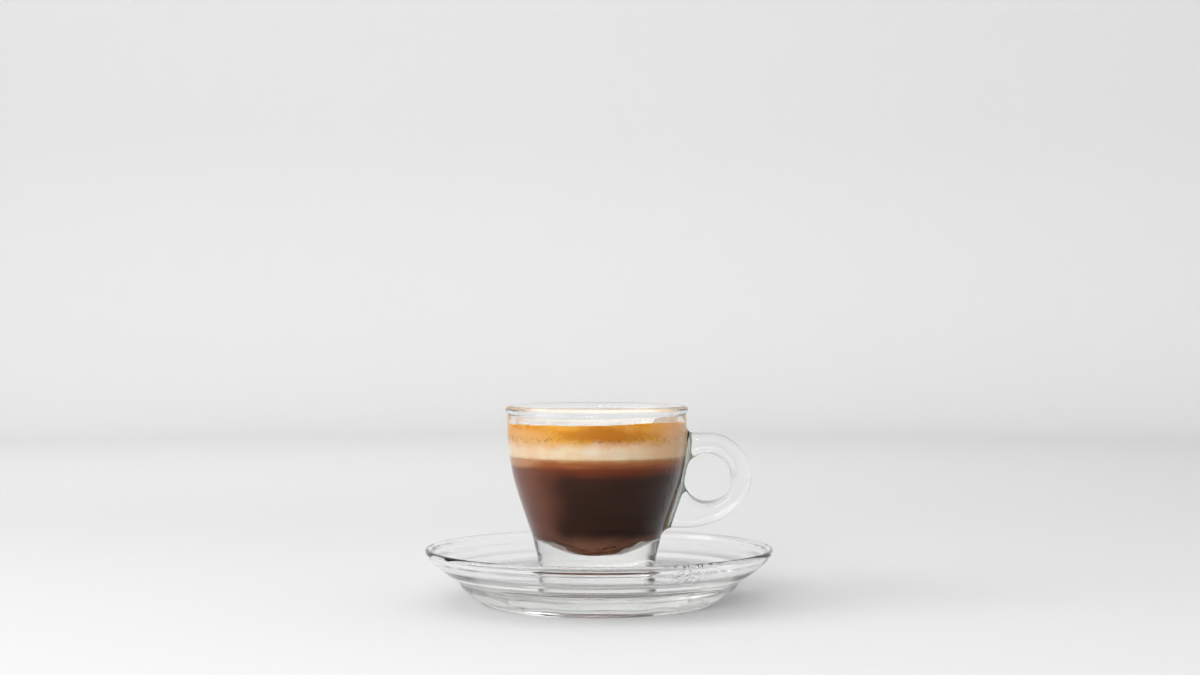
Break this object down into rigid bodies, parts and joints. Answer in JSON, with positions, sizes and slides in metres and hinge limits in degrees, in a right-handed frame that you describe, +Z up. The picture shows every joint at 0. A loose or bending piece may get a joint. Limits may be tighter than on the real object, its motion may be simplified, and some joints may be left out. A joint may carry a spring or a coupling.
{
  "type": "espresso macchiato in a glass cup",
  "caption": "Layered espresso macchiato in a clear glass cup with a round ring handle, standing on a stepped clear glass saucer.",
  "frame": {"origin": "middle of the saucer's foot, on the table", "axes": "+Z up, +X from the cup towards its ring handle, +Y away from the front"},
  "size_m": [0.1216, 0.1216, 0.0688],
  "materials": {
    "saucer_glass": "clear, polished",
    "cup_glass": "clear, polished",
    "espresso": "dark coffee, liquid",
    "coffee_with_milk": "brown coffee with milk, liquid",
    "milk_foam": "cream-coloured milk foam",
    "crema": "orange-brown crema, fine foam"
  },
  "bodies": {
    "root": {"saucer": "saucer_glass", "glass_cup": "cup_glass", "espresso": "espresso", "coffee_with_milk": "coffee_with_milk", "milk_foam": "milk_foam", "crema": "crema"}
  },
  "joints": []
}
